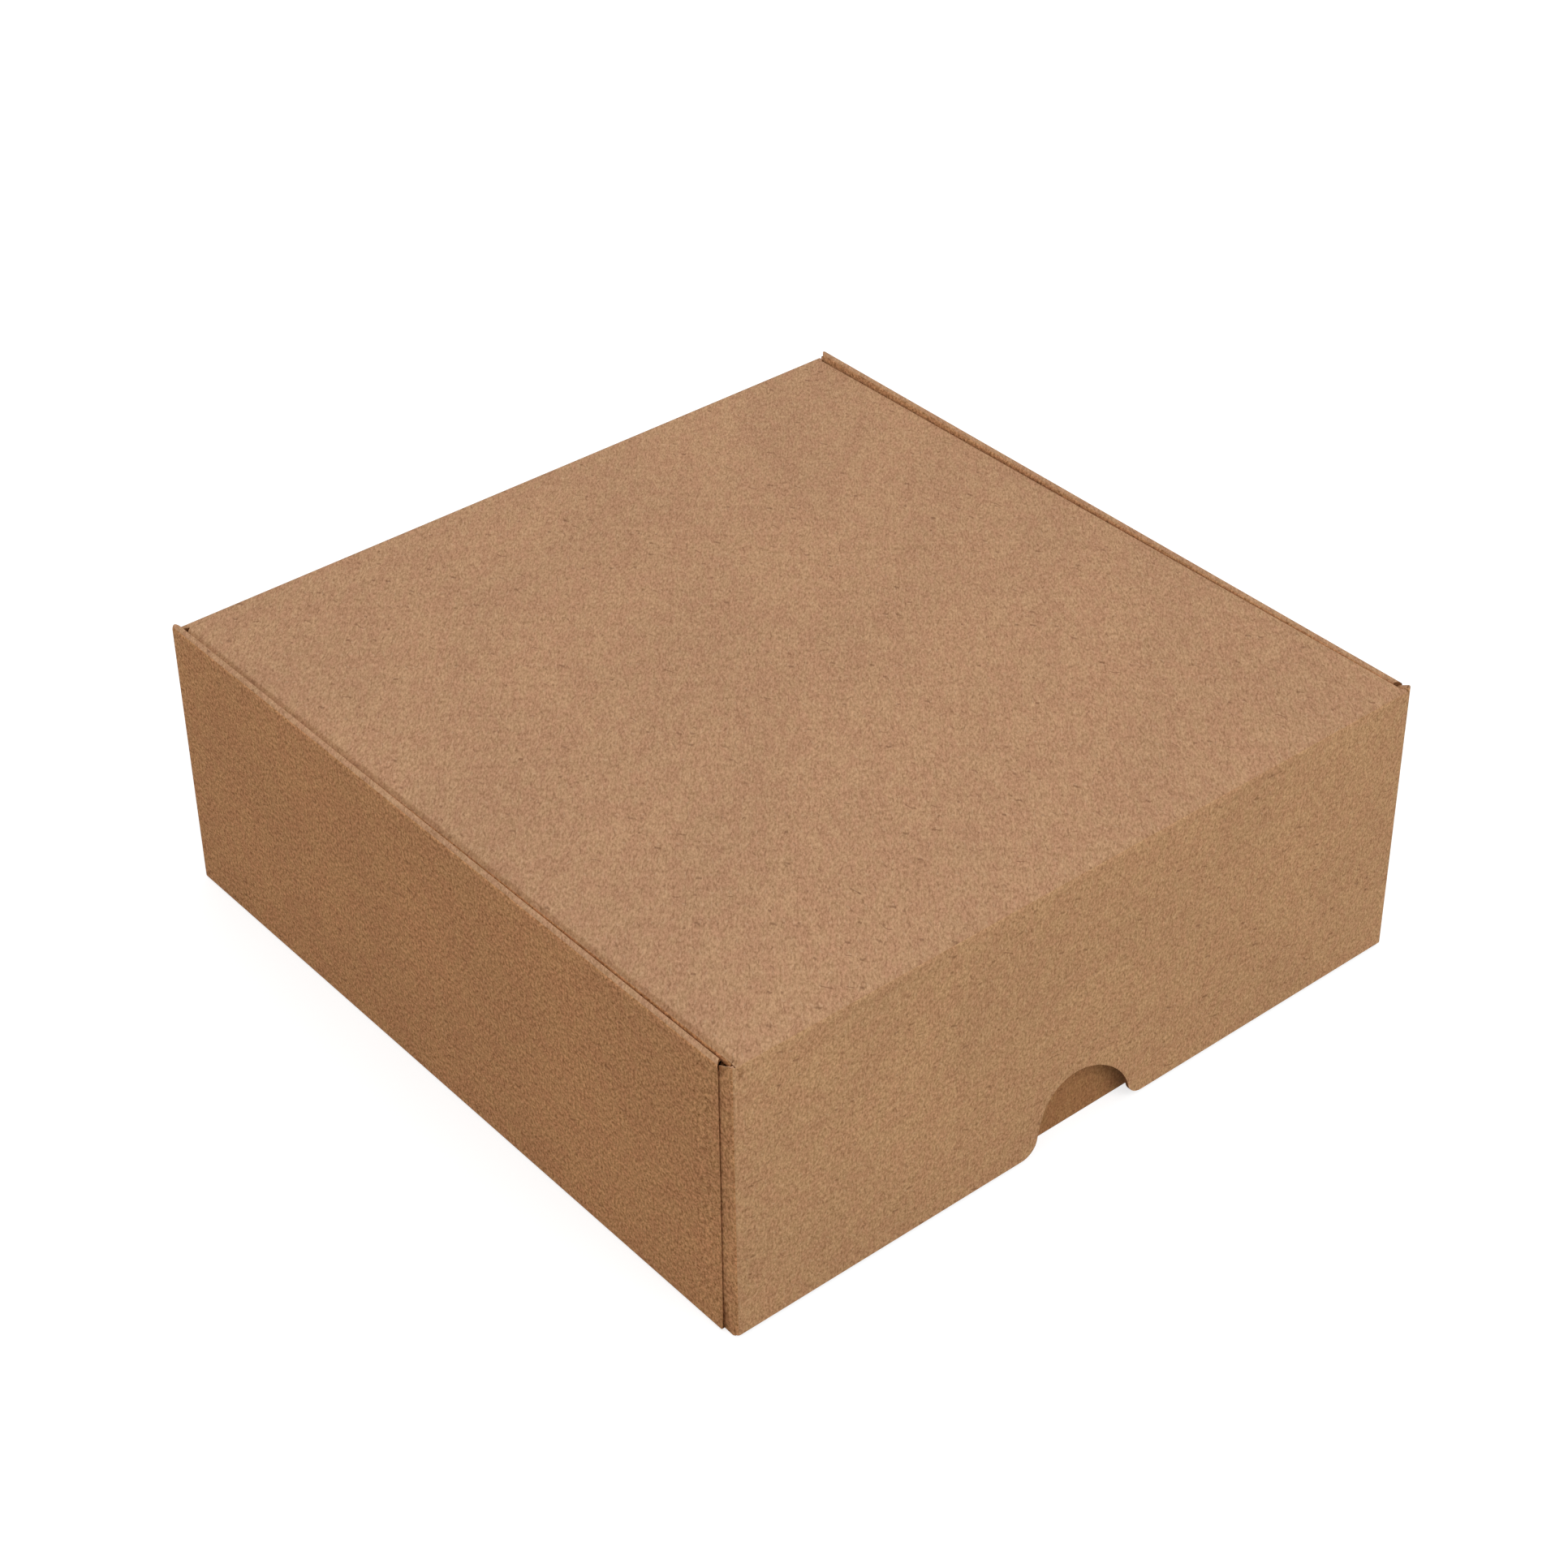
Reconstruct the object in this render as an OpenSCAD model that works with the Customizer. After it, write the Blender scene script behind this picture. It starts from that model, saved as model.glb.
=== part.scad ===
// Closed cardboard mailing box, folded from one die-cut sheet.
// X runs across the box, Y from the front flap to the back wall, Z up.
// The origin is the middle of the box's outline on the surface it stands on.

/* [Board] */
// thickness of the board
board = 0.9; // [0.6:0.05:1.5]
// clearance between two layers that lie side by side
layer_gap = 0.15; // [0.1:0.05:0.3]

/* [Tray] */
// width over the two side walls
body_w = 200; // [120:1:360]
// depth from the front wall's outside to the back wall's outside
tray_d = 201.5; // [120:0.5:360]
// height of the side walls
wall_h = 74; // [50:0.5:160]
// width of the folded-over top of a side wall
roll_w = 2; // [1.9:0.1:4]
// how far the side panels stand out in front of the front wall
panel_lead = 0.45; // [0:0.05:1]
// how much further forward a side panel's edge is at its top than halfway up
panel_rake = 0.25; // [0:0.05:0.4]
// how much further back the right side panel's front edge is than the left one's
panel_lag = 0.4; // [0:0.05:0.5]
// thickness left at a side panel's pressed front edge
edge_t = 0.25; // [0.2:0.05:0.6]
// how far the side panels end short of the back wall's outside
panel_short = 1.2; // [0.5:0.1:2]
// how far the front wall's top edge is below the side walls
front_wall_drop = 1.6; // [1.5:0.1:4]
// length of the corner flaps inside the side walls
corner_flap_l = 50; // [45:1:70]
// length of each lock tab at the foot of an inner side panel
tab_l = 24; // [15:1:40]

/* [Lid] */
// width over the lid's side folds
lid_w = 195.6; // [100:0.1:350]
// how far the lid's front edge is above the side walls
lid_front_rise = 0.28; // [0:0.02:1]
// how far the lid's back edge is below the side walls
lid_back_drop = 1.5; // [0:0.1:2]
// height of the lid's side flaps
lid_flap_h = 11; // [6:0.5:12]

/* [Front flap] */
// width of the front flap over its two ears
flap_w = 197.5; // [100:0.1:350]
// open space between the front wall and the front flap
flap_gap = 3.2; // [1:0.1:6]
// height of the flap's bottom edge above the floor
flap_lift = 1.05; // [0.8:0.05:2]
// how far the flap's right top corner stands up past the lid's front edge
corner_peak_right = 1.1; // [0.2:0.02:1.2]
// how far the flap's left top corner stands up past the lid's front edge
corner_peak_left = 0.2; // [0.2:0.02:1.2]
// length of the ears behind the front flap's face
ear_l = 45; // [40:1:60]
// half width of the thumb notch's arc
thumb_r = 14.5; // [8:0.1:16]
// height of the thumb notch above the flap's bottom edge
thumb_h = 17.3; // [10:0.1:20]
// how far the thumb notch's top lies off to the left
thumb_lean = 3; // [0:0.1:4]
// radius where the thumb notch runs out into the bottom edge
thumb_lead_r = 4.5; // [2:0.1:6]

/* [Hidden] */
$fn = 64;
half_w = body_w / 2;
total_d = flap_gap + board + tray_d;
// outer faces, front to back
face_y = -total_d / 2;
front_y = face_y + board + flap_gap;
back_y = total_d / 2;
front_in = front_y + board;
back_in = back_y - board;
panel_front = front_y - panel_lead;
panel_back = back_y - panel_short;
roll_front = front_y + 0.55;
// length over which a side panel's front edge is pressed thin
edge_l = 0.8;
// the roll's back end is cut on a slant: level with the panel, past it at the ridge, short of it inside
roll_back_ridge = panel_back + 0.5;
roll_back_in = panel_back - 0.85;
// height where the flat of a wall meets its rolled top
roll_z = wall_h - board;

// layers of a side wall, from the outside in
panel_in = half_w - board;
ear_out = flap_w / 2;
ear_in = ear_out - board;
corner_out = ear_in - layer_gap;
corner_in = corner_out - board;
inner_out = corner_in - layer_gap;
inner_in = inner_out - board;
roll_in = half_w - roll_w;
// the inner panel leaves the roll upright, leans in, then stands against the corner flaps
lean_top = roll_z - 1.2;
lean_h = 14;
lean_foot = lean_top - lean_h;
lean_rate = (roll_in - inner_in) / lean_h;
ear_clear_z = lean_top - (roll_in + board - corner_out) / lean_rate - 0.3;
corner_flap_top = lean_foot - 0.4;
foot_z = board + layer_gap;
corner_foot_z = board + 2 * layer_gap;
inner_front = front_in + 0.25;
inner_back = back_in - 0.25;
inner_notch = 6;
front_wall_h = wall_h - front_wall_drop;
slot_l = tab_l + 4 * layer_gap;
tab_pitch = tray_d * 0.23;
mid_y = (front_y + back_y) / 2;

// centres of the lid's front and back creases
crease_y = face_y + board;
crease_z = wall_h + lid_front_rise - board;
hinge_z = wall_h - lid_back_drop - board;
lid_run = back_in - crease_y;
lid_fall = crease_z - hinge_z;
lid_len = sqrt(lid_run * lid_run + lid_fall * lid_fall);
lid_tilt = atan(lid_fall / lid_run);
lid_half = lid_w / 2;
lid_arc_x = lid_half - board;
lid_flap_rate = lean_rate + 0.04;
strip_half = ear_in - 0.04;
// slit beside each end of the front crease, running forward as it runs out
slit_x = lid_half - 0.8;
slit_y = face_y + 1.96;
slit_slope = 0.45;
slit_w = 0.34;
// triangular reliefs beside the back crease, the left one opened further by the fold
back_relief_y = back_y - 2.2;
back_relief_left = 1.8;
back_relief_right = 0.65;
hinge_half = roll_in - 0.1;
hinge_strip = 1.4;

// ear outline, measured from the crease line
ear_tip_r = 8;
ear_tip_y = face_y + ear_l - ear_tip_r;
ear_root_y = front_y + 4.8;
ear_top_z = ear_clear_z - 6;
ear_low_z = 18.5;
ear_foot_z = 0.03;
corner_foot_rise = 0.8;
lid_front_z = crease_z + board;
// thickness left at the pressed top edge of an ear, and how far down the pressing starts
lip_t = 0.3;
lip_h = 0.8;
lip_foot_z = crease_z - 2;
// top lines of the two ears from back to front; the right one stands up past the lid
ear_top_right = [
    [front_y + 0.1, crease_z - 0.45],
    [front_y - 1.1, crease_z + 0.56],
    [crease_y, crease_z + 1.7]
];
ear_top_left = [
    [front_y + 0.1, crease_z - 0.76],
    [front_y - 1.81, crease_z + 0.18],
    [crease_y + 0.28, lid_front_z + 0.08],
    [crease_y, lid_front_z + 0.12]
];

// thumb notch, an arc that springs from its two run-outs
thumb_centre_z = flap_lift - 0.7;
thumb_top_h = flap_lift + thumb_h - thumb_centre_z;
thumb_lead_z = flap_lift + thumb_lead_r;
thumb_lead_turn = 11.5;
thumb_touch_z = thumb_lead_z - thumb_lead_r * sin(thumb_lead_turn);
thumb_touch = asin((thumb_touch_z - thumb_centre_z) / thumb_top_h);
thumb_lead_x = thumb_r * cos(thumb_touch) + thumb_lead_r * cos(thumb_lead_turn);
thumb_steps = 48;

// Sweeps a Y-Z outline along X.
module along_x(from, to) {
    translate([from, 0, 0])
        rotate([90, 0, 90])
            linear_extrude(height = to - from) children();
}

// Sweeps an X-Z outline along Y.
module along_y(from, to) {
    translate([0, to, 0])
        rotate([90, 0, 0])
            linear_extrude(height = to - from) children();
}

// Sweeps an X-Y outline along Z.
module along_z(from, to) {
    translate([0, 0, from])
        linear_extrude(height = to - from) children();
}

// Both hands of a piece that is drawn on the right.
module both_sides() {
    children();
    mirror([1, 0, 0]) children();
}

// Round outside of a crease: a quarter disc in the quadrant that (qx, qy) points to.
module crease_round(cx, cy, qx, qy) {
    translate([cx, cy])
        scale([qx, qy])
            intersection() {
                circle(r = board);
                square(board);
            }
}

// Part of a crease's disc between two directions, lapping into the plate it joins.
module crease_sector(cx, cy, from, to) {
    reach = 2 * board;
    translate([cx, cy])
        intersection() {
            circle(r = board);
            polygon([
                [0, 0],
                [reach * cos(from), reach * sin(from)],
                [reach * cos(to), reach * sin(to)]
            ]);
        }
}

// Base panel with the slots for the lock tabs.
module base_panel() {
    difference() {
        along_z(0, board)
            translate([-panel_in, front_in])
                square([2 * panel_in, back_in - front_in]);
        both_sides()
            for (k = [-1, 1])
                translate([inner_in - layer_gap, mid_y + k * tab_pitch - slot_l / 2, -1])
                    cube([board + 2 * layer_gap, slot_l, board + 2]);
    }
}

// Round outsides of the base's front and back creases.
module cross_creases() {
    along_x(-corner_in, corner_in)
        crease_round(front_in, board, -1, -1);
    along_x(-corner_in, corner_in)
        crease_round(back_in, board, 1, -1);
}

// Outer panel of the right side wall and its crease, with the front end set back by lag.
module outer_panel(lag) {
    front = panel_front + lag;
    crease_slant = 1;
    rake_turn = atan(2 * panel_rake / (roll_z - board));
    intersection() {
        along_y(front + panel_rake, panel_back)
            crease_round(panel_in, board, 1, -1);
        along_x(panel_in - 1, half_w + 1)
            polygon([
                [front + panel_rake, board + 1],
                [front + panel_rake, board],
                [front + panel_rake + crease_slant, 0],
                [front + panel_rake + crease_slant, -1],
                [panel_back + 1, -1],
                [panel_back + 1, board + 1]
            ]);
    }
    difference() {
        along_x(panel_in, half_w)
            polygon([
                [front + panel_rake, board],
                [panel_back, board],
                [panel_back, roll_z],
                [front - panel_rake, roll_z]
            ]);
        translate([panel_in, front, (roll_z + board) / 2])
            rotate([rake_turn, 0, 0])
                along_z(-wall_h, wall_h)
                    polygon([
                        [-1, -1],
                        [board - edge_t, -1],
                        [board - edge_t, 0],
                        [0, edge_l],
                        [-1, edge_l]
                    ]);
    }
}

// Folded-over top of the right side wall, with both ends cut on a slant.
module wall_roll(lag) {
    front = panel_front - panel_rake - 0.1 + lag;
    intersection() {
        along_y(face_y, back_y)
            union() {
                crease_round(panel_in, roll_z, 1, 1);
                crease_round(roll_in + board, roll_z, -1, 1);
                translate([roll_in + board, roll_z])
                    square([roll_w - 2 * board, board]);
            }
        along_z(roll_z - 1, wall_h + 1)
            polygon([
                [half_w + 1, front],
                [half_w, front],
                [roll_in + 0.4, roll_front + lag / 2],
                [roll_in - 1, roll_front + lag / 2],
                [roll_in - 1, roll_back_in],
                [roll_in, roll_back_in],
                [half_w - 1.1, roll_back_ridge],
                [half_w - 0.7, roll_back_ridge],
                [half_w, panel_back],
                [half_w + 1, panel_back]
            ]);
    }
}

// Inner panel of the right side wall, leaning in over the corner flaps.
module inner_panel() {
    intersection() {
        along_y(inner_front, inner_back)
            polygon([
                [roll_in, roll_z],
                [roll_in + board, roll_z],
                [roll_in + board, lean_top],
                [inner_out, lean_foot],
                [inner_out, foot_z],
                [inner_in, foot_z],
                [inner_in, lean_foot],
                [roll_in, lean_top]
            ]);
        along_x(inner_in - 1, half_w)
            polygon([
                [inner_front, foot_z],
                [inner_back, foot_z],
                [inner_back, roll_z],
                [inner_front + inner_notch, roll_z],
                [inner_front + inner_notch, ear_clear_z + 1.6],
                [inner_front, lean_foot + 1]
            ]);
    }
}

// Lock tabs of the right inner panel, let into the base's slots.
module lock_tabs() {
    for (k = [-1, 1])
        translate([inner_in, mid_y + k * tab_pitch - tab_l / 2, layer_gap])
            cube([board, tab_l, foot_z - layer_gap + 0.5]);
}

// Right side wall, all its layers, with the outer panel's front end set back by lag.
module side_wall(lag) {
    outer_panel(lag);
    wall_roll(lag);
    inner_panel();
    lock_tabs();
}

// Front or back wall plate, lying between the given heights.
module cross_wall(from_y, to_y, top_z) {
    along_y(from_y, to_y)
        translate([-corner_in, board])
            square([2 * corner_in, top_z - board]);
}

// Right corner flap, drawn for the front wall and running back from it.
module corner_flap() {
    along_x(corner_in, corner_out)
        polygon([
            [front_in, corner_foot_z],
            [front_in + corner_flap_l - 6, corner_foot_z],
            [front_in + corner_flap_l, corner_foot_z + 10],
            [front_in + corner_flap_l, corner_flap_top - 10],
            [front_in + corner_flap_l - 6, corner_flap_top],
            [front_in, corner_flap_top]
        ]);
}

// Front wall with its two corner flaps.
module front_wall() {
    cross_wall(front_y, front_in, front_wall_h);
    both_sides() {
        along_z(corner_foot_z, front_wall_h)
            crease_round(corner_in, front_in, 1, -1);
        corner_flap();
    }
}

// Back wall with its two corner flaps, up to the lid's crease.
module back_wall() {
    cross_wall(back_in, back_y, hinge_z);
    both_sides() {
        along_z(corner_foot_z, hinge_z - 0.7)
            crease_round(corner_in, back_in, 1, 1);
        translate([0, 2 * mid_y, 0])
            mirror([0, 1, 0]) corner_flap();
    }
}

// Space beside the lid's fold line on the right, in front of the slit or (ahead = -1) behind it.
module beside_slit(ahead) {
    span = 10;
    along_z(hinge_z - 2 * lid_flap_h, wall_h + 2)
        polygon([
            [lid_arc_x, slit_y],
            [ear_out, slit_y - slit_slope * (ear_out - lid_arc_x)],
            [ear_out, slit_y - ahead * span],
            [lid_arc_x, slit_y - ahead * span]
        ]);
}

// Strip of the lid along its front crease, as wide as the front flap and ending at the slits.
module lid_strip() {
    nx = board * sin(lid_tilt);
    nz = board * cos(lid_tilt);
    difference() {
        along_x(-strip_half, strip_half)
            union() {
                polygon([
                    [crease_y, crease_z],
                    [crease_y + 4 * nz, crease_z - 4 * nx],
                    [crease_y + 4 * nz + nx, crease_z - 4 * nx + nz],
                    [crease_y + nx, crease_z + nz]
                ]);
                crease_sector(crease_y, crease_z, 80, 135);
            }
        both_sides() beside_slit(-1);
    }
}

// Lid plate, back to its share of the back crease.
module lid_plate() {
    nx = board * sin(lid_tilt);
    nz = board * cos(lid_tilt);
    along_x(-lid_arc_x, lid_arc_x)
        polygon([
            [crease_y, crease_z],
            [back_in, hinge_z],
            [back_in + nx, hinge_z + nz],
            [crease_y + nx, crease_z + nz]
        ]);
    along_x(-hinge_half, hinge_half)
        union() {
            polygon([
                [back_in - hinge_strip * nz, hinge_z + hinge_strip * nx],
                [back_in, hinge_z],
                [back_in + nx, hinge_z + nz],
                [back_in - hinge_strip * nz + nx, hinge_z + hinge_strip * nx + nz]
            ]);
            crease_sector(back_in, hinge_z, 0, 100);
        }
}

// Right side fold of the lid and the side flap below it, drawn along the lid's own slope.
module lid_side() {
    start = 0.1;
    flap_start = front_in + 0.2 - crease_y;
    flap_end = lid_len - 3.2;
    flap_slant = 8;
    // the flap's front end clears the front wall's top edge
    tongue_h = 0.7;
    difference() {
        translate([0, crease_y, crease_z])
            rotate([-lid_tilt, 0, 0])
                union() {
                    along_y(start, lid_len - hinge_strip / 2)
                        crease_round(lid_arc_x, 0, 1, 1);
                    intersection() {
                        along_y(0, lid_len)
                            polygon([
                                [lid_arc_x, 0],
                                [lid_half, 0],
                                [lid_half - lid_flap_h * lid_flap_rate, -lid_flap_h],
                                [lid_arc_x - lid_flap_h * lid_flap_rate, -lid_flap_h]
                            ]);
                        along_x(lid_arc_x - lid_flap_h, lid_half + 1)
                            polygon([
                                [start, 0.1],
                                [start, -tongue_h],
                                [flap_start, -tongue_h],
                                [flap_start + flap_slant, -lid_flap_h - 1],
                                [flap_end - flap_slant, -lid_flap_h - 1],
                                [flap_end, 0],
                                [flap_end, 0.1]
                            ]);
                    }
                }
        beside_slit(1);
    }
}

// Slit and relief cut at the right ends of the lid's creases, the back one as deep as back_cut.
module lid_reliefs(back_cut) {
    back_x = lid_half - back_cut;
    slit_run = ear_out - slit_x;
    tip_y = slit_y - slit_slope * (slit_x - lid_arc_x);
    along_z(crease_z - 2, wall_h + 2)
        polygon([
            [slit_x, tip_y],
            [slit_x + slit_run, tip_y - slit_slope * slit_run - slit_w / 2],
            [slit_x + slit_run, tip_y - slit_slope * slit_run + slit_w / 2],
            [slit_x + slit_w, tip_y - slit_slope * slit_w + slit_w / 2]
        ]);
    along_z(hinge_z - 0.5, wall_h + 2)
        polygon([
            [back_x, back_relief_y],
            [back_x + 2, back_relief_y - 2],
            [back_x + 2, back_relief_y + 0.85]
        ]);
}

// Tray and lid: every panel of the sheet except the front flap and its ears.
module box_body() {
    color([0.69, 0.53, 0.4])
        union() {
            base_panel();
            cross_creases();
            side_wall(panel_lag);
            mirror([1, 0, 0]) side_wall(0);
            front_wall();
            back_wall();
            difference() {
                union() {
                    lid_strip();
                    lid_plate();
                    both_sides() lid_side();
                }
                lid_reliefs(back_relief_right);
                mirror([1, 0, 0]) lid_reliefs(back_relief_left);
            }
        }
}

// How far the thumb notch's middle line lies off to the left at a height.
function thumb_shift(z) =
    z < thumb_touch_z ? 0 :
    thumb_lean * pow((z - thumb_touch_z) / (flap_lift + thumb_h - thumb_touch_z), 1.5);

// Point on the thumb notch's arc, at a turn from the right around its centre.
function thumb_point(turn) =
    let (z = thumb_centre_z + thumb_top_h * sin(turn))
    [thumb_r * cos(turn) - thumb_shift(z), z];

// Outline of the thumb notch with its rounded run-outs, seen from the front.
module thumb_notch() {
    turn_step = (180 - 2 * thumb_touch) / thumb_steps;
    polygon([for (k = [0:thumb_steps]) thumb_point(thumb_touch + k * turn_step)]);
    difference() {
        polygon([
            [-thumb_lead_x, flap_lift - 1],
            [thumb_lead_x, flap_lift - 1],
            [thumb_lead_x, thumb_lead_z],
            [thumb_r * cos(thumb_touch), thumb_touch_z],
            [-thumb_r * cos(thumb_touch), thumb_touch_z],
            [-thumb_lead_x, thumb_lead_z]
        ]);
        translate([thumb_lead_x, thumb_lead_z]) circle(r = thumb_lead_r);
        translate([-thumb_lead_x, thumb_lead_z]) circle(r = thumb_lead_r);
    }
}

// Outline of an ear, seen from the side, up to the foot of its front top edge.
module ear_outline() {
    top_tilt = atan((ear_clear_z - ear_top_z) / (ear_tip_y - ear_root_y));
    top_y = ear_tip_y + ear_tip_r * sin(top_tilt);
    low_rise = atan((ear_low_z - foot_z) / (ear_tip_y - front_in));
    low_y = ear_tip_y + ear_tip_r * sin(low_rise);
    top_cz = ear_top_z - ear_tip_r;
    low_cz = ear_low_z + ear_tip_r;
    union() {
        polygon([
            [crease_y, lip_foot_z],
            [crease_y, ear_foot_z + 0.5],
            [crease_y + 0.85, ear_foot_z],
            [front_y + 0.65, ear_foot_z + 0.1],
            [front_in - 0.1, foot_z + 0.1],
            [low_y, low_cz - ear_tip_r * cos(low_rise)],
            [ear_tip_y, low_cz],
            [ear_tip_y, top_cz],
            [top_y, top_cz + ear_tip_r * cos(top_tilt)],
            [ear_root_y, ear_clear_z],
            [front_y + 0.1, lip_foot_z]
        ]);
        translate([ear_tip_y, top_cz]) circle(r = ear_tip_r);
        translate([ear_tip_y, low_cz]) circle(r = ear_tip_r);
        translate([ear_tip_y, low_cz]) square([ear_tip_r, top_cz - low_cz]);
    }
}

// One stretch of the right ear's front top edge, between two points of its top line.
module ear_lip(back, front) {
    hull() {
        along_x(ear_out - lip_t, ear_out)
            polygon([[back[0], lip_foot_z], back, front, [front[0], lip_foot_z]]);
        along_x(ear_in, ear_out)
            polygon([
                [back[0], lip_foot_z],
                [back[0], back[1] - lip_h],
                [front[0], front[1] - lip_h],
                [front[0], lip_foot_z]
            ]);
    }
}

// Right ear, with its front top edge along the given line.
module ear(top_line) {
    along_x(ear_in, ear_out) ear_outline();
    for (k = [1:len(top_line) - 1]) ear_lip(top_line[k - 1], top_line[k]);
}

// Rounded upright corner between the flap's face and its right ear, rising outwards to peak.
module flap_corner(peak) {
    skin = 0.01;
    intersection() {
        along_z(0, lid_front_z + 2)
            crease_round(ear_in, crease_y, 1, -1);
        union() {
            along_y(face_y - 1, crease_y + 1)
                polygon([
                    [ear_in - 1, flap_lift],
                    [ear_in, flap_lift],
                    [ear_out + 0.1, corner_foot_rise],
                    [ear_out + 0.1, crease_z],
                    [ear_in - 1, crease_z]
                ]);
            hull() {
                along_x(ear_in - skin, ear_in)
                    union() {
                        crease_round(crease_y, crease_z, -1, 1);
                        translate([face_y, lip_foot_z]) square([board, crease_z - lip_foot_z]);
                    }
                along_x(ear_out, ear_out + skin)
                    polygon([
                        [face_y, lip_foot_z],
                        [crease_y, lip_foot_z],
                        [crease_y, lid_front_z + 0.7 * peak],
                        [face_y, lid_front_z + peak]
                    ]);
            }
        }
    }
}

// Front flap: its face with the thumb notch, and the two ears behind the side panels.
module front_flap() {
    color([0.67, 0.51, 0.38])
        union() {
            along_y(face_y, crease_y)
                difference() {
                    translate([-ear_in, flap_lift])
                        square([2 * ear_in, crease_z - flap_lift]);
                    thumb_notch();
                }
            along_x(-strip_half, strip_half)
                crease_sector(crease_y, crease_z, 135, 180);
            flap_corner(corner_peak_right);
            ear(ear_top_right);
            mirror([1, 0, 0]) {
                flap_corner(corner_peak_left);
                ear(ear_top_left);
            }
        }
}

box_body();
front_flap();
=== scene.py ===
"""Closed kraft mailing box: fibrous board, dark cut edges, white floor and the photograph's camera."""

import math

import bmesh
import bpy
from mathutils import Matrix, Vector


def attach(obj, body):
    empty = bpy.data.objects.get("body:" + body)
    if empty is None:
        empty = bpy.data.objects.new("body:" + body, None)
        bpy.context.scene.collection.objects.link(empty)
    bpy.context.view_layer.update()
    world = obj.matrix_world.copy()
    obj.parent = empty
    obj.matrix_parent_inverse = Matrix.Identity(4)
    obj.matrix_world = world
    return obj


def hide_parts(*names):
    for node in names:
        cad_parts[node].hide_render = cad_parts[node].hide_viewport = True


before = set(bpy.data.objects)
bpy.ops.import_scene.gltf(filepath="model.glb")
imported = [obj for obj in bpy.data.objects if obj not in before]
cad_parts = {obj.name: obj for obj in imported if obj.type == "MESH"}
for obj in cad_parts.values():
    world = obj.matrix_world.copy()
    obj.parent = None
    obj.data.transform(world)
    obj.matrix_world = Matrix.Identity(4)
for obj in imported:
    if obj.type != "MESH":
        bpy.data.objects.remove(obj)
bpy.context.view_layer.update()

MM = 0.001

# photograph's camera, in the part's frame
IMAGE_PX = 1932
SENSOR_MM = 36.0
FOCAL_PX = 4091.28
CENTRE_PX = (1021.47, 882.97)
CAMERA_AT = (-0.39941, -0.48369, 0.50449)
VIEW_AZIMUTH = -40.503
VIEW_ELEVATION = 35.508
VIEW_ROLL = -0.047
CLIP_NEAR = 0.01
CLIP_FAR = 50.0

# floor, world and lamp
FLOOR_SIZE = 8.0
FLOOR_GREY = 0.45
FLOOR_GLOW = 0.74
WORLD_LEVEL = 0.80
KEY_AT = (0.35, -1.74, 1.67)
KEY_AIM = (0, 0, 0.04)
KEY_SIZE = 1.4
KEY_WATTS = 16.5

# board colours, linear
WHITE = (1, 1, 1, 1)
PINK_TAN = (0.436, 0.240, 0.136, 1)
YELLOW_TAN = (0.456, 0.270, 0.148, 1)
DARK_FIBRE = (0.15, 0.065, 0.03, 1)
PALE_FIBRE = (0.62, 0.42, 0.27, 1)
CUT_DARK = (0.175, 0.072, 0.027, 1)
CUT_LIGHT = (0.25, 0.118, 0.05, 1)
# tints of level faces, the flap's front, the front and back wall, and outward and inward sides: painted
# light and shade, set by the way a face points
LID_TINT = (0.99, 0.965, 0.935, 1)
# the flap's front: painted light, lighter and yellower than the lid
FLAP_PAINTED_LIGHT = (1.05, 1.014, 0.889, 1)
# the front and back wall: painted shade, darker and browner
WALL_PAINTED_SHADE = (0.785, 0.645, 0.45, 1)
# outward sides: painted shade, darker and redder
SIDE_PAINTED_SHADE = (1.083, 0.918, 0.703, 1)
# inward sides: painted light, lighter against the shade between the wall's roll and the lid
INNER_PAINTED_LIGHT = (1.18, 1.08, 0.92, 1)

# surfaces: roughness, specular level, strength of the bump and its height
LINER_SURFACE = (0.88, 0.22, 0.12, 0.05 * MM)
CUT_SURFACE = (0.95, 0.1, 0.3, 0.08 * MM)

# a point faces along an axis when its normal has more than this share along it
FACING = 0.7
# the grain runs up the walls, and across the lid at this angle to its sides, drawn out more
LID_GRAIN = math.radians(40.5)
LID_STRETCH = 1.7
# the lid's grain is cut at this depth of the noise
LID_SLICE = 11.0
# scale of the front and back walls' grain, and of the side panels' along y, up z and through x
WALL_SCALE = 0.8
SIDE_SCALES = (0.66, 0.8, 0.7)
# scale of the place in the grain: less along it, which draws grain and fine fibres out
GRAIN_DRAW = (1.0, 0.62, 1.0)

# noises: scale per mm, detail, roughness, and the range that the tone follows
MOTTLE_NOISE = (0.42, 3.0, 0.6)
MOTTLE_RANGE = (0.36, 0.64)
CLOUD_NOISE = (0.045, 3.0, 0.5)
CLOUD_RANGE = (0.3, 0.7)
CLOUD_TONES = (0.965, 1.035)
GRAIN_NOISE = (2.2, 4.0, 0.85)
GRAIN_RANGE = (0.22, 0.78)
CUT_NOISE = (1.7, 4.0, 0.7)
CUT_RANGE = (0.35, 0.7)

# strength of the grain on level, front and side faces
LID_GRAIN_DEPTH = 0.50
FRONT_GRAIN_DEPTH = 0.56
SIDE_GRAIN_DEPTH = 0.84
# how strongly the grain shows in red, green and blue
GRAIN_SHARES = (0.9, 1.0, 1.2)

# fibre layers: cell and width in mm, share of the cells with a fibre, seed, strength, colour,
# and whether they are drawn out with the grain
FIBRE_LAYERS = (
    (1.9, 0.14, 0.8, 5.0, 0.28, PALE_FIBRE, True),
    (2.3, 0.14, 0.75, 9.0, 0.34, DARK_FIBRE, True),
    (3.1, 0.26, 0.07, 23.0, 0.5, DARK_FIBRE, False),
    (6.0, 0.13, 0.09, 17.0, 0.5, DARK_FIBRE, False),
)
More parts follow.
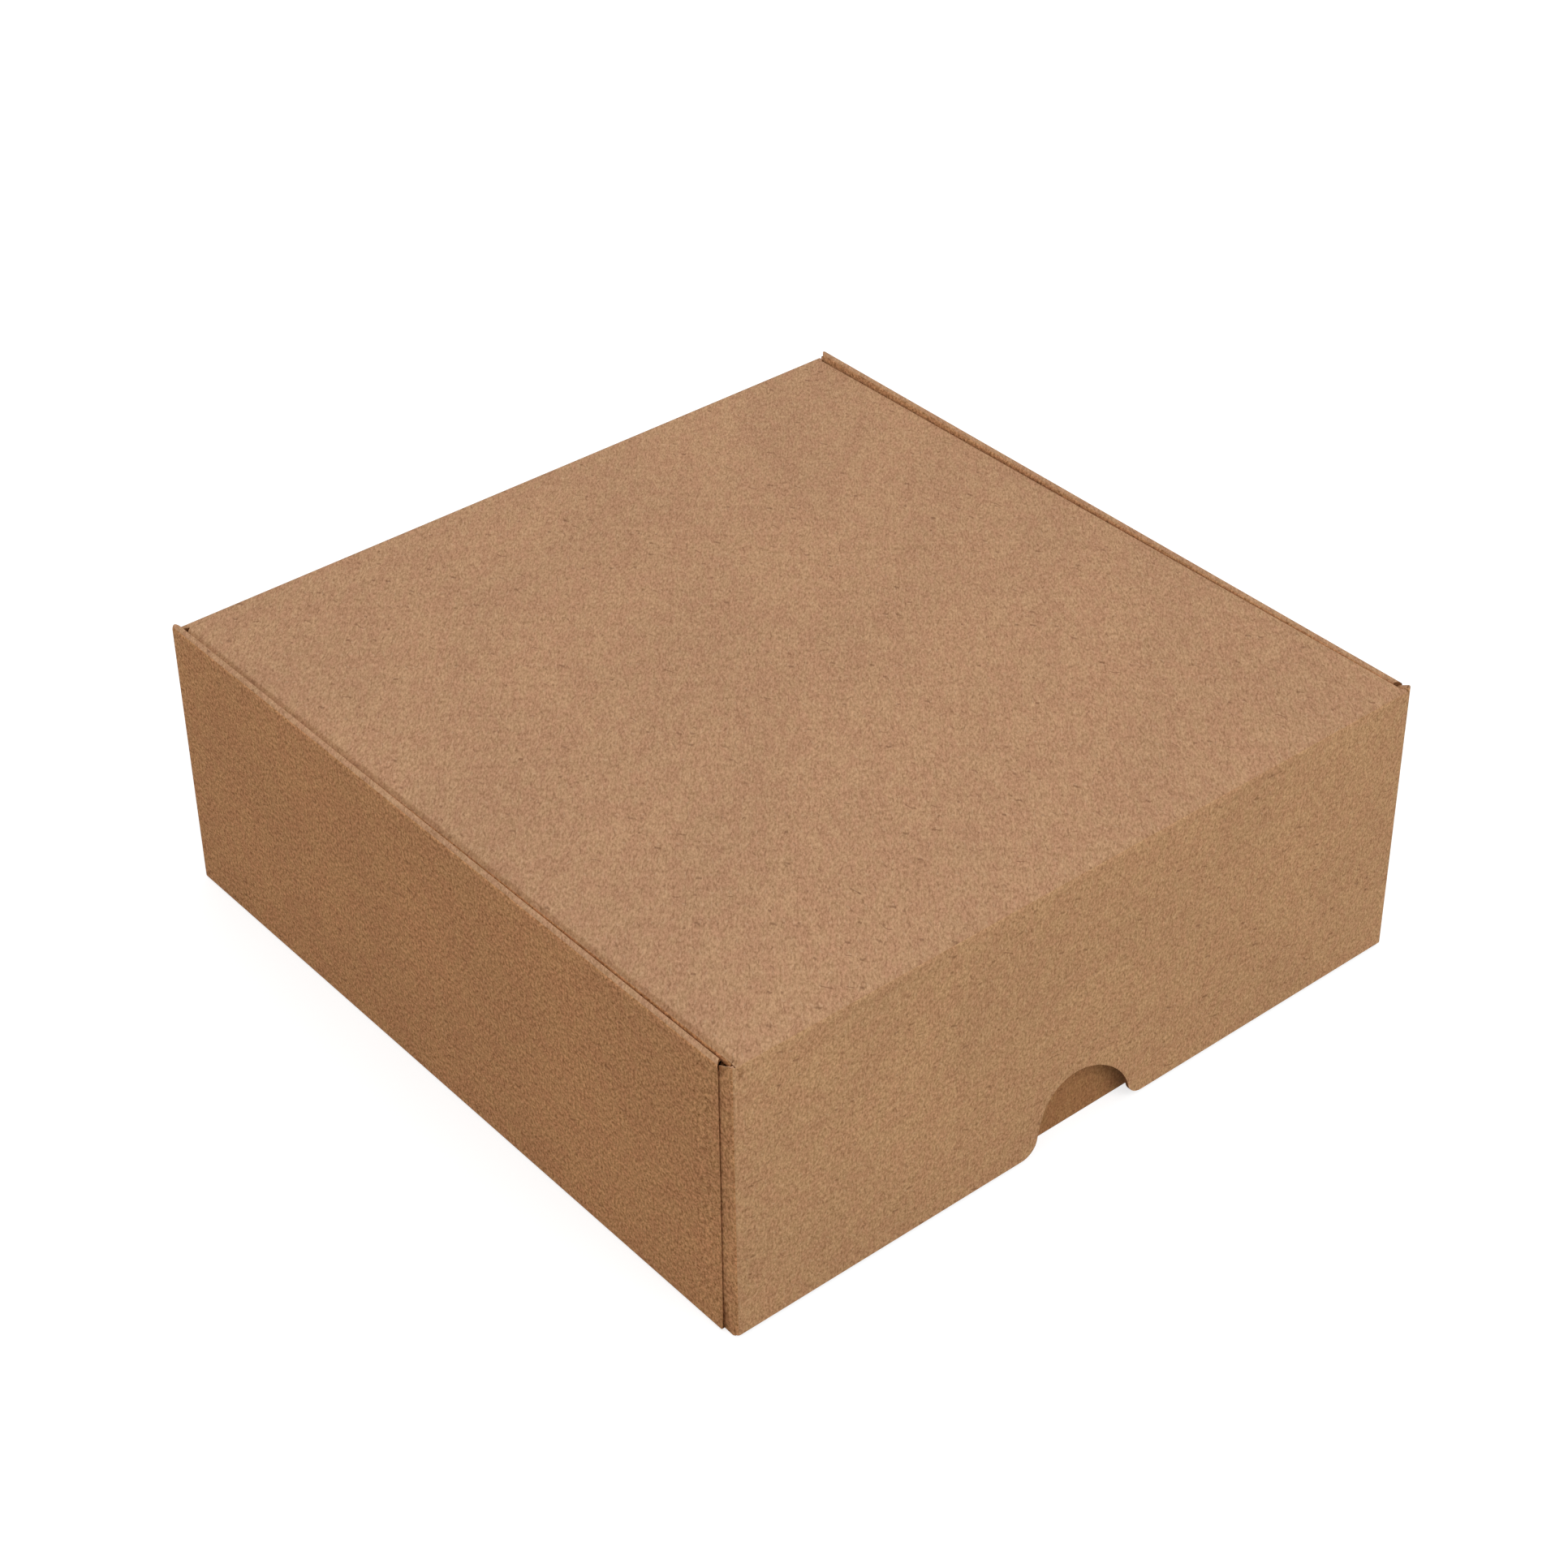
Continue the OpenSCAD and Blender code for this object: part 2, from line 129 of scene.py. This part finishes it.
# one fibre, in cells: how far it lies off the cell's middle at most, how much it curves at most,
# its shortest half length, and how much longer that may be
FIBRE_SHIFT = 0.18
FIBRE_BEND = 1.5
FIBRE_SHORTEST = 0.1
FIBRE_SPREAD = 0.2
# it fades out over this many half widths, and from this share of its half length
FIBRE_FADE = 2.2
FIBRE_TIP = 0.6
# how fast the cells change through the board, and where their random numbers are read
CELL_DRIFT = 0.11
DICE_Y = 3.7
DICE_Z = 1.3

# points closer than this are one point
WELD = 0.002 * MM
# a smooth patch of surface narrower than this is a cut edge of the board
CUT_WIDTH = 1.15 * MM
# faces that meet at less than this angle run into each other smoothly
CREASE_ANGLE = math.radians(50)
# a narrow patch that leans both outwards and up is a bent corner, not a cut
LEAN = 0.3

# how far the ears spring out against the side panels, and the |x| where that starts and is full
EAR_SPRING = 0.12 * MM
EAR_FROM = 96.9 * MM
EAR_FULL = 97.8 * MM
# the side panels' front edges, in mm: what lies past this |x| closes in by this share of it
PANEL_FACES = 99.0
PRESS_IN = 0.75
# what lies before this y is also drawn back by this much
PRESS_FRONT = -97.5
PRESS_BACK = 0.64
# the pressing sets in from one y to the other, and fades at the foot and under the roll, in z
PRESS_END = -91.0
PRESS_FULL = -99.0
PRESS_FOOT = (1.0, 9.0)
PRESS_TOP = (70.0, 73.1)
# cuts across the panels that let them bend there, at these y and z
PRESS_CUTS_Y = (PRESS_END, -93.0, -95.0)
PRESS_CUTS_Z = (5.0, PRESS_FOOT[1], PRESS_TOP[0], 71.6)
# the lid's left fold, in mm left of the middle: painted shade of the fold darkens the liner and clears
# again
FOLD_DARKENS = (96.0, 96.7)
FOLD_CLEARS = (97.1, 97.6)
FOLD_LEVEL = 71.0
FOLD_PAINTED_SHADE = (0.80, 0.755, 0.69, 1)
# the lid's front fold: its painted shade, which dims the fold's highlight, sets in as the normal leans
# both up and forwards by these shares
FRONT_FOLD_LEANS = (0.12, 0.5)
FRONT_FOLD_PAINTED_SHADE = (0.93, 0.93, 0.93, 1)


class Graph:
    """Short names for the shader nodes that the materials use."""

    def __init__(self, tree):
        self.tree = tree

    def add(self, kind, **settings):
        node = self.tree.nodes.new(kind)
        for name, value in settings.items():
            setattr(node, name, value)
        return node

    def feed(self, socket, value):
        if isinstance(value, bpy.types.NodeSocket):
            self.tree.links.new(value, socket)
        elif value is not None:
            socket.default_value = value

    def math(self, operation, a, b=None, c=None):
        node = self.add("ShaderNodeMath", operation=operation)
        for socket, value in zip(node.inputs, (a, b, c)):
            self.feed(socket, value)
        return node.outputs[0]

    def times(self, a, b):
        return self.math("MULTIPLY", a, b)

    def vector(self, operation, a, b=None):
        node = self.add("ShaderNodeVectorMath", operation=operation)
        self.feed(node.inputs[0], a)
        self.feed(node.inputs[1], b)
        return node.outputs[0]

    def split(self, vector):
        """The vector's parts, as X, Y and Z."""
        node = self.add("ShaderNodeSeparateXYZ")
        self.feed(node.inputs[0], vector)
        return node.outputs

    def join(self, x, y, z=0.0):
        node = self.add("ShaderNodeCombineXYZ")
        for socket, value in zip(node.inputs, (x, y, z)):
            self.feed(socket, value)
        return node.outputs[0]

    def ramp(self, value, low, high, to_low=0.0, to_high=1.0):
        node = self.add("ShaderNodeMapRange", interpolation_type="SMOOTHSTEP")
        for socket, item in zip(node.inputs, (value, low, high, to_low, to_high)):
            self.feed(socket, item)
        return node.outputs[0]

    def noise(self, vector, scale, detail, roughness):
        node = self.add("ShaderNodeTexNoise")
        self.feed(node.inputs["Vector"], vector)
        self.feed(node.inputs["Scale"], scale)
        self.feed(node.inputs["Detail"], detail)
        self.feed(node.inputs["Roughness"], roughness)
        return node.outputs[0]

    def mix(self, factor, a, b, blend="MIX"):
        node = self.add("ShaderNodeMix", data_type="RGBA", blend_type=blend)
        self.feed(node.inputs["Factor"], factor)
        self.feed(node.inputs["A"], a)
        self.feed(node.inputs["B"], b)
        return node.outputs["Result"]

    def tinted(self, colour, tint):
        return self.mix(1.0, colour, tint, "MULTIPLY")


def grey(level):
    return (level, level, level, 1)


def board_point(g):
    """A point's place in mm and its normal, each as X, Y and Z."""
    coords = g.add("ShaderNodeTexCoord")
    at = g.split(g.vector("MULTIPLY", coords.outputs["Object"], (1 / MM,) * 3))
    return at, g.split(coords.outputs["Normal"])


def faces_along(g, share):
    """1 where the normal's share along an axis, either way, is large."""
    return g.math("GREATER_THAN", g.math("ABSOLUTE", share), FACING)


def sheet_place(g, at, faces_up, faces_side):
    """Place in the board's grain, in mm: across it, along it and through it."""
    x, y, z = at
    cos_g, sin_g = math.cos(LID_GRAIN), math.sin(LID_GRAIN)
    lid_across = g.math("SUBTRACT", g.times(x, cos_g), g.times(y, sin_g))
    lid_along = g.math("ADD", g.times(x, sin_g), g.times(y, cos_g))
    lid = g.join(lid_across, g.math("DIVIDE", lid_along, LID_STRETCH), LID_SLICE)
    wall = g.join(g.times(x, WALL_SCALE), g.times(z, WALL_SCALE), y)
    side = g.join(*[g.times(part, scale) for part, scale in zip((y, z, x), SIDE_SCALES)])
    upright = g.mix(faces_side, wall, side)
    return g.mix(faces_up, upright, lid)


def lid_fold_painted_shade(g, at, normal):
    """Painted shade along the lid's left fold and its front fold."""
    left_of_middle = g.times(at["X"], -1.0)
    left_fold_shade = g.times(g.ramp(left_of_middle, *FOLD_DARKENS),
                        g.ramp(left_of_middle, *FOLD_CLEARS, 1.0, 0.0))
    left_fold_shade = g.times(left_fold_shade, g.math("GREATER_THAN", at["Z"], FOLD_LEVEL))
    leans = g.math("MINIMUM", normal["Z"], g.times(normal["Y"], -1.0))
    tint = g.mix(left_fold_shade, WHITE, FOLD_PAINTED_SHADE)
    # painted shade on the front fold, against its highlight
    return g.mix(g.ramp(leans, *FRONT_FOLD_LEANS), tint, FRONT_FOLD_PAINTED_SHADE)


def fibre_group():
    """One layer of short curved fibres: a random stroke in each cell of a grid."""
    tree = bpy.data.node_groups.new("fibre_layer", "ShaderNodeTree")
    for name, kind in (("Place", "NodeSocketVector"), ("Cell", "NodeSocketFloat"),
                       ("Width", "NodeSocketFloat"), ("Share", "NodeSocketFloat"),
                       ("Seed", "NodeSocketFloat")):
        tree.interface.new_socket(name=name, in_out="INPUT", socket_type=kind)
    tree.interface.new_socket(name="Mask", in_out="OUTPUT", socket_type="NodeSocketFloat")
    g = Graph(tree)
    source = g.add("NodeGroupInput").outputs
    place = g.split(source["Place"])
    seed = source["Seed"]
    per_mm = g.math("DIVIDE", 1.0, source["Cell"])
    in_cells = g.join(g.math("MULTIPLY_ADD", place["X"], per_mm, seed), g.times(place["Y"], per_mm),
                      g.times(place["Z"], CELL_DRIFT))
    cell_id = g.vector("FLOOR", in_cells)
    off_centre = g.split(g.vector("SUBTRACT", g.vector("FRACTION", in_cells), (0.5, 0.5, 0.0)))

    dice = g.add("ShaderNodeTexWhiteNoise", noise_dimensions="3D")
    g.feed(dice.inputs["Vector"], g.vector("ADD", cell_id, g.join(seed, DICE_Y, DICE_Z)))
    first, second, third = g.split(dice.outputs["Color"])
    shift_x = g.math("MULTIPLY_ADD", second, -2 * FIBRE_SHIFT, FIBRE_SHIFT)
    shift_y = g.math("MULTIPLY_ADD", third, -2 * FIBRE_SHIFT, FIBRE_SHIFT)
    turn = g.add("ShaderNodeVectorRotate", rotation_type="Z_AXIS")
    g.feed(turn.inputs["Vector"], g.join(g.math("ADD", off_centre["X"], shift_x),
                                         g.math("ADD", off_centre["Y"], shift_y)))
    g.feed(turn.inputs["Angle"], g.times(first, 2 * math.pi))
    turned = g.split(turn.outputs[0])
    along, aside = turned["X"], turned["Y"]

    bend = g.math("MULTIPLY_ADD", third, 2 * FIBRE_BEND, -FIBRE_BEND)
    off = g.math("ABSOLUTE", g.math("MULTIPLY_ADD", g.times(along, along), bend, aside))
    half_width = g.times(source["Width"], g.times(per_mm, 0.5))
    within_width = g.ramp(off, half_width, g.times(half_width, FIBRE_FADE), 1.0, 0.0)
    half_length = g.math("MULTIPLY_ADD", second, FIBRE_SPREAD, FIBRE_SHORTEST)
    tip = g.times(half_length, FIBRE_TIP)
    within_length = g.ramp(g.math("ABSOLUTE", along), tip, half_length, 1.0, 0.0)
    there = g.math("LESS_THAN", dice.outputs["Value"], source["Share"])
    mask = g.times(g.times(within_width, within_length), there)
    g.feed(g.add("NodeGroupOutput").inputs[0], mask)
    return tree


def fibre_layer(g, tree, place, cell, width, share, seed):
    node = g.add("ShaderNodeGroup", node_tree=tree)
    for name, value in (("Place", place), ("Cell", cell), ("Width", width),
                        ("Share", share), ("Seed", seed)):
        g.feed(node.inputs[name], value)
    return node.outputs[0]


def paint(g, shader, surface, colour, relief):
    """Give the shader its colour and surface, with a fine bump from the relief."""
    roughness, specular, strength, height = surface
    g.feed(shader.inputs["Roughness"], roughness)
    g.feed(shader.inputs["Specular IOR Level"], specular)
    g.feed(shader.inputs["Base Color"], colour)
    bump = g.add("ShaderNodeBump")
    g.feed(bump.inputs["Strength"], strength)
    g.feed(bump.inputs["Distance"], height)
    g.feed(bump.inputs["Height"], relief)
    g.feed(shader.inputs["Normal"], bump.outputs[0])


def board_material(name, fibres, front_painted_light_shade):
    """Unprinted kraft liner: mottled tan with fine grain, pale and dark fibres and specks, with painted
    light and shade by the way a face points and along the lid's folds.
    """
    material = bpy.data.materials.new(name)
    material.use_nodes = True
    g = Graph(material.node_tree)
    at, normal = board_point(g)
    faces_up = faces_along(g, normal["Z"])
    faces_side = faces_along(g, normal["X"])
    place = sheet_place(g, at, faces_up, faces_side)
    grain_place = g.vector("MULTIPLY", place, GRAIN_DRAW)

    mottle = g.noise(grain_place, *MOTTLE_NOISE)
    tone = g.mix(g.ramp(mottle, *MOTTLE_RANGE), PINK_TAN, YELLOW_TAN)
    cloud = g.ramp(g.noise(place, *CLOUD_NOISE), *CLOUD_RANGE, *CLOUD_TONES)
    tone = g.tinted(tone, g.join(cloud, cloud, cloud))
    grain = g.noise(grain_place, *GRAIN_NOISE)
    depth = g.mix(faces_side, grey(FRONT_GRAIN_DEPTH), grey(SIDE_GRAIN_DEPTH))
    depth = g.mix(faces_up, depth, grey(LID_GRAIN_DEPTH))
    swing = g.times(g.ramp(grain, *GRAIN_RANGE, -1.0, 1.0), depth)
    tone = g.tinted(tone, g.join(*[g.math("MULTIPLY_ADD", swing, share, 1.0) for share in GRAIN_SHARES]))
    for cell, width, share, seed, strength, colour, drawn_out in FIBRE_LAYERS:
        fibre_place = grain_place if drawn_out else place
        layer = fibre_layer(g, fibres, fibre_place, cell, width, share, seed)
        tone = g.mix(g.times(layer, strength), tone, colour)

    # painted shade along the lid's folds
    tone = g.tinted(tone, lid_fold_painted_shade(g, at, normal))
    # inward side faces get painted light, outward side faces painted shade
    faces_in = g.times(faces_side, g.math("LESS_THAN", g.times(at["X"], normal["X"]), 0.0))
    side_painted_light_shade = g.mix(faces_in, SIDE_PAINTED_SHADE, INNER_PAINTED_LIGHT)
    # the tint by the way a face points is painted light and shade
    tint = g.mix(faces_up, g.mix(faces_side, front_painted_light_shade, side_painted_light_shade), LID_TINT)
    shader = material.node_tree.nodes["Principled BSDF"]
    paint(g, shader, LINER_SURFACE, g.tinted(tone, tint), grain)
    return material


def cut_material(name):
    """Cut edge of the board: darker, with ragged plies."""
    material = bpy.data.materials.new(name)
    material.use_nodes = True
    g = Graph(material.node_tree)
    at, normal = board_point(g)
    place = sheet_place(g, at, faces_along(g, normal["Z"]), faces_along(g, normal["X"]))
    ragged = g.noise(place, *CUT_NOISE)
    colour = g.mix(g.ramp(ragged, *CUT_RANGE), CUT_DARK, CUT_LIGHT)
    paint(g, material.node_tree.nodes["Principled BSDF"], CUT_SURFACE, colour, ragged)
    return material


def smooth_patches(bm):
    """Groups of faces that run into each other without a sharp edge."""
    patches, seen = [], set()
    for start in bm.faces:
        if start in seen:
            continue
        seen.add(start)
        patch, waiting = [], [start]
        while waiting:
            face = waiting.pop()
            patch.append(face)
            for edge in face.edges:
                if not edge.smooth:
                    continue
                for other in edge.link_faces:
                    if other not in seen:
                        seen.add(other)
                        waiting.append(other)
        patches.append(patch)
    return patches


def share_between(value, low, high):
    """0 up to low, 1 from high on, and evenly between them."""
    return min(max((value - low) / (high - low), 0.0), 1.0)


def eased(value, low, high):
    """Smooth step from 0 at low to 1 at high."""
    t = share_between(value, low, high)
    return t * t * (3 - 2 * t)


def press_panels(bm):
    """The side panels' thin front edges close up to the ears between their foot and the roll."""
    cuts = [(1, y) for y in PRESS_CUTS_Y] + [(2, z) for z in PRESS_CUTS_Z]
    for axis, level in cuts:
        faces = [f for f in bm.faces if abs(f.calc_center_median().x) > PANEL_FACES * MM]
        parts = {item for f in faces for item in (f, *f.edges, *f.verts)}
        point, normal = Vector((0, 0, 0)), Vector((0, 0, 0))
        point[axis] = level * MM
        normal[axis] = 1
        bmesh.ops.bisect_plane(bm, geom=list(parts), plane_co=point, plane_no=normal)
    for vert in bm.verts:
        x, y, z = vert.co / MM
        if abs(x) < PANEL_FACES:
            continue
        share = (eased(-y, -PRESS_END, -PRESS_FULL) * eased(z, *PRESS_FOOT)
                 * (1 - eased(z, *PRESS_TOP)))
        vert.co.x -= math.copysign(PRESS_IN * share * (abs(x) - PANEL_FACES), x) * MM
        if y < PRESS_FRONT:
            vert.co.y += PRESS_BACK * share * MM


def spring_ears(bm):
    """The ears spring outwards and all but touch the side panels."""
    for vert in bm.verts:
        share = share_between(abs(vert.co.x), EAR_FROM, EAR_FULL)
        vert.co.x += math.copysign(EAR_SPRING * share, vert.co.x)


def board_piece(node, body, materials, reshape):
    """The node's shape as a welded and reshaped mesh, its cut edges told apart from its liners."""
    bm = bmesh.new()
    bm.from_mesh(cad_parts[node].data)
    bmesh.ops.remove_doubles(bm, verts=bm.verts, dist=WELD)
    bmesh.ops.dissolve_degenerate(bm, edges=bm.edges, dist=WELD)
    reshape(bm)
    for edge in bm.edges:
        edge.smooth = edge.is_manifold and edge.calc_face_angle(math.pi) < CREASE_ANGLE
    for face in bm.faces:
        face.smooth = True
    for patch in smooth_patches(bm):
        area = sum(face.calc_area() for face in patch)
        rim = sum(e.calc_length() for face in patch for e in face.edges if not e.smooth)
        facing = sum((face.normal * face.calc_area() for face in patch), Vector())
        bent = min(abs(facing.x), abs(facing.z)) > LEAN * area
        is_cut = rim > 0 and 2 * area / rim < CUT_WIDTH and not bent
        for face in patch:
            face.material_index = 1 if is_cut else 0
    mesh = bpy.data.meshes.new(node + "_board")
    bm.to_mesh(mesh)
    bm.free()
    for material in materials:
        mesh.materials.append(material)
    piece = bpy.data.objects.new(node + "_board", mesh)
    bpy.context.scene.collection.objects.link(piece)
    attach(piece, body)
    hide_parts(node)


def seen_directly(g):
    """1 for a ray from the camera, a mirror or glass, and 0 for one that only carries light."""
    path = g.add("ShaderNodeLightPath").outputs
    return g.math("MAXIMUM", path["Is Camera Ray"],
                  g.math("MAXIMUM", path["Is Glossy Ray"], path["Is Transmission Ray"]))


def white_floor():
    """Pale floor whose lit part renders white to the camera and keeps a faint shadow."""
    bpy.ops.mesh.primitive_plane_add(size=FLOOR_SIZE)
    floor = bpy.context.active_object
    floor.name = "floor"
    material = bpy.data.materials.new("pale_floor")
    material.use_nodes = True
    tree = material.node_tree
    tree.nodes.clear()
    g = Graph(tree)
    matt = g.add("ShaderNodeBsdfDiffuse")
    g.feed(matt.inputs["Color"], grey(FLOOR_GREY))
    glow = g.add("ShaderNodeEmission")
    g.feed(glow.inputs["Strength"], g.times(seen_directly(g), FLOOR_GLOW))
    both = g.add("ShaderNodeAddShader")
    g.feed(both.inputs[0], matt.outputs[0])
    g.feed(both.inputs[1], glow.outputs[0])
    out = g.add("ShaderNodeOutputMaterial")
    g.feed(out.inputs["Surface"], both.outputs[0])
    floor.data.materials.append(material)


def white_world(level):
    """Even studio light from all round, seen as plain white."""
    world = bpy.data.worlds.new("studio")
    bpy.context.scene.world = world
    world.use_nodes = True
    g = Graph(world.node_tree)
    back = world.node_tree.nodes["Background"]
    g.feed(back.inputs["Color"], WHITE)
    g.feed(back.inputs["Strength"], g.math("MULTIPLY_ADD", seen_directly(g), 1.0 - level, level))


def soft_lamp(name, place, aim, size, watts):
    """Round lamp at a place, turned to its aim."""
    lamp = bpy.data.lights.new(name, "AREA")
    lamp.shape = "DISK"
    lamp.size = size
    lamp.energy = watts
    obj = bpy.data.objects.new(name, lamp)
    bpy.context.scene.collection.objects.link(obj)
    obj.location = place
    obj.rotation_mode = "QUATERNION"
    obj.rotation_quaternion = (Vector(aim) - Vector(place)).to_track_quat("-Z", "Y")


def photo_camera():
    """Camera at the photograph's place and angle, with its off-centre framing as a small shift."""
    azimuth, elevation, roll = (math.radians(a) for a in (VIEW_AZIMUTH, VIEW_ELEVATION, VIEW_ROLL))
    back = Vector((math.sin(azimuth) * math.cos(elevation),
                   -math.cos(azimuth) * math.cos(elevation),
                   math.sin(elevation)))
    right = (-back).cross(Vector((0, 0, 1))).normalized()
    up = right.cross(-back)
    turned_right = math.cos(roll) * right + math.sin(roll) * up
    turned_up = math.cos(roll) * up - math.sin(roll) * right
    data = bpy.data.cameras.new("photo_camera")
    data.sensor_width = SENSOR_MM
    data.lens = FOCAL_PX / IMAGE_PX * SENSOR_MM
    data.shift_x = 0.5 - CENTRE_PX[0] / IMAGE_PX
    data.shift_y = CENTRE_PX[1] / IMAGE_PX - 0.5
    data.clip_start = CLIP_NEAR
    data.clip_end = CLIP_FAR
    camera = bpy.data.objects.new("photo_camera", data)
    bpy.context.scene.collection.objects.link(camera)
    turn = Matrix((turned_right, turned_up, back)).transposed().to_4x4()
    camera.matrix_world = Matrix.Translation(CAMERA_AT) @ turn
    bpy.context.scene.camera = camera


fibres = fibre_group()
cut = cut_material("cut_edge")
liner = board_material("kraft_liner", fibres, WALL_PAINTED_SHADE)
flap_liner = board_material("kraft_liner_flap", fibres, FLAP_PAINTED_LIGHT)
board_piece("box_body", "box", (liner, cut), press_panels)
board_piece("front_flap", "front_flap", (flap_liner, cut), spring_ears)

white_floor()
white_world(WORLD_LEVEL)
soft_lamp("key", KEY_AT, KEY_AIM, KEY_SIZE, KEY_WATTS)
photo_camera()
bpy.context.scene.view_settings.view_transform = "Standard"
